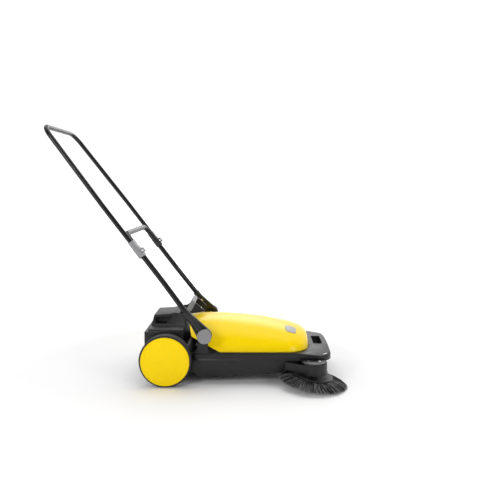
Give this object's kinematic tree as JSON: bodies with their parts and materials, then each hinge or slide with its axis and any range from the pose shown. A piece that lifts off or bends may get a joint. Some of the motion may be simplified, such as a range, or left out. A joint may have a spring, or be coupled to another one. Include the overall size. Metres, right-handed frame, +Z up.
{
  "type": "walk behind sweeper",
  "caption": "Push-along floor sweeper: domed hood over a roller driven by the wheels, tilting side brush, lift-out rear dirt container and a folding, height-adjustable push handle.",
  "frame": {"origin": "under the middle of the bounding box, on the floor that the wheels and the side brush stand on", "axes": "+X forwards, the longest extent; +Y to the machine's left, the shortest extent; +Z up"},
  "size_m": [1.1286, 0.564, 0.9712],
  "materials": {
    "hood_yellow": "moulded yellow plastic, satin gloss",
    "cap_yellow": "moulded yellow plastic, satin gloss",
    "frame_plastic": "anthracite moulded plastic, fine grain",
    "cover_plastic": "anthracite moulded plastic, fine grain",
    "bumper_plastic": "anthracite moulded plastic, fine grain",
    "container_plastic": "anthracite moulded plastic, fine grain",
    "light_plastic": "light grey moulded plastic",
    "tyre": "soft dark grey rubber with a fine ribbed tread",
    "rim_plastic": "black moulded plastic",
    "inner_plastic": "natural acetal, slightly waxy",
    "tube_paint": "black powder coat",
    "bracket_plastic": "black moulded plastic",
    "zinc": "zinc-plated steel",
    "belt_rubber": "black drive belt",
    "seal_rubber": "black rubber strip",
    "bristle": "black synthetic bristle"
  },
  "bodies": {
    "chassis": {"main_frame": "frame_plastic", "hood": "hood_yellow", "front_bumper": "bumper_plastic", "right_side_cover": "cover_plastic", "left_side_cover": "cover_plastic", "cover_screws": "zinc", "right_axle": "zinc", "left_axle": "zinc", "axle_clips": "zinc", "right_pivot_pin": "zinc", "left_pivot_pin": "zinc", "pivot_clips": "zinc", "roller_bearings": "inner_plastic", "brush_belt": "belt_rubber", "front_bush": "inner_plastic", "spindle_bush": "inner_plastic", "housing_floor": "cover_plastic", "brush_housing": "cover_plastic", "housing_screws": "zinc", "front_seal": "seal_rubber", "side_seals": "seal_rubber"},
    "right_wheel": {"right_tyre": "tyre", "right_rim": "rim_plastic", "right_wheel_bush": "inner_plastic", "right_hub_cap": "cap_yellow", "wheel_ring_gear": "inner_plastic"},
    "left_wheel": {"left_tyre": "tyre", "left_rim": "rim_plastic", "left_wheel_bush": "inner_plastic", "left_hub_cap": "cap_yellow"},
    "roller": {"roller_shaft": "zinc", "roller_core": "frame_plastic", "roller_bristles": "bristle", "roller_pulley": "inner_plastic", "drive_pinion": "inner_plastic"},
    "front_drive": {"front_shaft": "zinc", "front_pulley": "inner_plastic", "front_pinion": "inner_plastic"},
    "side_brush": {"crown_gear": "inner_plastic", "brush_spindle": "zinc", "brush_disc": "frame_plastic", "brush_bristles": "bristle"},
    "container": {"container": "container_plastic", "container_handle": "container_plastic", "container_grip": "light_plastic"},
    "handle": {"lower_tube": "tube_paint", "right_bracket": "bracket_plastic", "left_bracket": "bracket_plastic", "bracket_rivets": "zinc", "right_pivot_cap": "light_plastic", "left_pivot_cap": "light_plastic", "right_clamp": "light_plastic", "left_clamp": "light_plastic", "clamp_bolts": "zinc"},
    "handle_upper": {"upper_tube": "tube_paint", "tube_plugs": "bracket_plastic"}
  },
  "joints": [
    {"name": "right_wheel_spin", "type": "hinge", "parent": "chassis", "child": "right_wheel", "pos_m": [-0.11063, -0.165, 0.0975], "axis": [0, 1, 0], "continuous": true},
    {"name": "left_wheel_spin", "type": "hinge", "parent": "chassis", "child": "left_wheel", "pos_m": [-0.11063, 0.257, 0.0975], "axis": [0, 1, 0], "continuous": true},
    {"name": "roller_spin", "type": "hinge", "parent": "chassis", "child": "roller", "pos_m": [-0.08063, 0.046, 0.04554], "axis": [0, 1, 0], "continuous": true},
    {"name": "front_drive_spin", "type": "hinge", "parent": "chassis", "child": "front_drive", "pos_m": [0.44415, -0.128, 0.07177], "axis": [0, 1, 0], "continuous": true},
    {"name": "side_brush_spin", "type": "hinge", "parent": "chassis", "child": "side_brush", "pos_m": [0.44037, -0.154, 0.041], "axis": [0.1219, 0, 0.9925], "continuous": true},
    {"name": "handle_tilt", "type": "hinge", "parent": "chassis", "child": "handle", "pos_m": [0.03237, 0.046, 0.188], "axis": [0, 1, 0], "range_deg": [0, 133]},
    {"name": "handle_height", "type": "slide", "parent": "handle", "child": "handle_upper", "axis": [-0.6046, 0, 0.7965], "range_m": [-0.08, 0]},
    {"name": "container_lift", "type": "slide", "parent": "chassis", "child": "container", "axis": [0, 0, 1], "range_m": [0, 0.2]}
  ],
  "couplings": [
    {"joint": "roller_spin", "follows": "right_wheel_spin", "ratio": 5},
    {"joint": "front_drive_spin", "follows": "right_wheel_spin", "ratio": 2.6667},
    {"joint": "side_brush_spin", "follows": "right_wheel_spin", "ratio": 1.3333}
  ]
}
